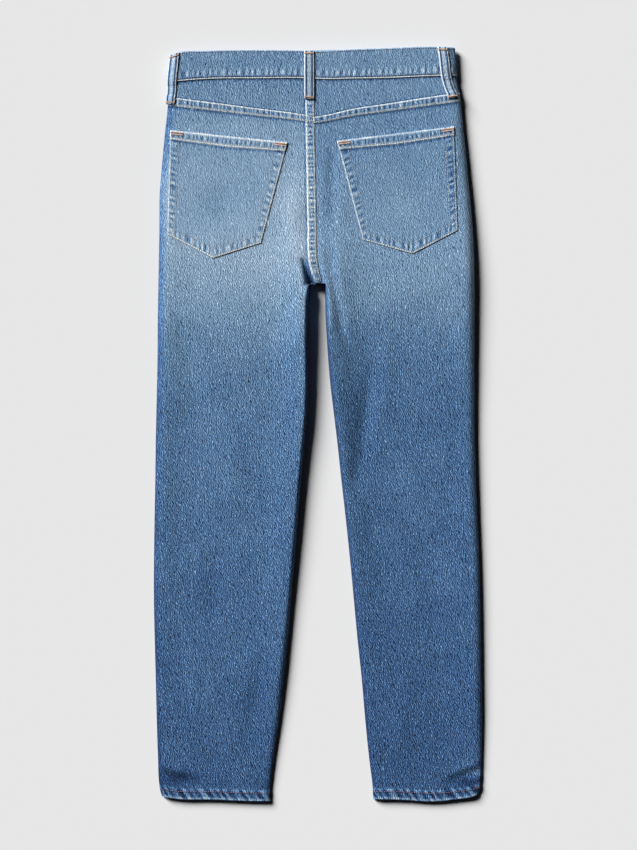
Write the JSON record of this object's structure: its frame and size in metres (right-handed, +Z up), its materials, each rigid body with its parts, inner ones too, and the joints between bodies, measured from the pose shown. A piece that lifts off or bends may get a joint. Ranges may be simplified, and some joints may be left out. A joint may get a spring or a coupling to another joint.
{
  "type": "straight jeans",
  "caption": "Straight-leg denim jeans laid flat with the back side up: yokes, patch back pockets, belt loops, felled seams and stitched hems.",
  "frame": {"origin": "centre of the garment's box, on the surface that it lies on", "axes": "+Z up off the surface, towards the back side of the jeans; +Y to the waist; +X to the wearer's right leg, at the picture's right"},
  "size_m": [0.4356, 1.0016, 0.0192],
  "materials": {
    "denim_leg": "worn mid-blue twill, darker towards the hems",
    "denim_seat": "faded blue twill",
    "denim_band": "faded blue twill, two layers",
    "denim_pocket": "pale faded blue twill with puckered edges",
    "denim_loop": "pale worn blue twill",
    "zip_tape": "dark woven tape",
    "button_metal": "aged, brushed"
  },
  "bodies": {
    "root": {"waistband": "denim_band", "yoke_left": "denim_seat", "yoke_right": "denim_seat", "back_leg_left": "denim_leg", "back_leg_right": "denim_leg", "front_leg_left": "denim_leg", "front_leg_right": "denim_leg", "back_pocket_left": "denim_pocket", "back_pocket_right": "denim_pocket", "pocket_facing_left": "denim_seat", "pocket_facing_right": "denim_seat", "belt_loop_back_left": "denim_loop", "belt_loop_back_centre": "denim_loop", "belt_loop_back_right": "denim_loop", "belt_loop_front_left": "denim_loop", "belt_loop_front_right": "denim_loop", "fly_flap": "denim_seat", "zip_tape": "zip_tape", "zip_slider": "button_metal", "waist_button": "button_metal"}
  },
  "joints": []
}
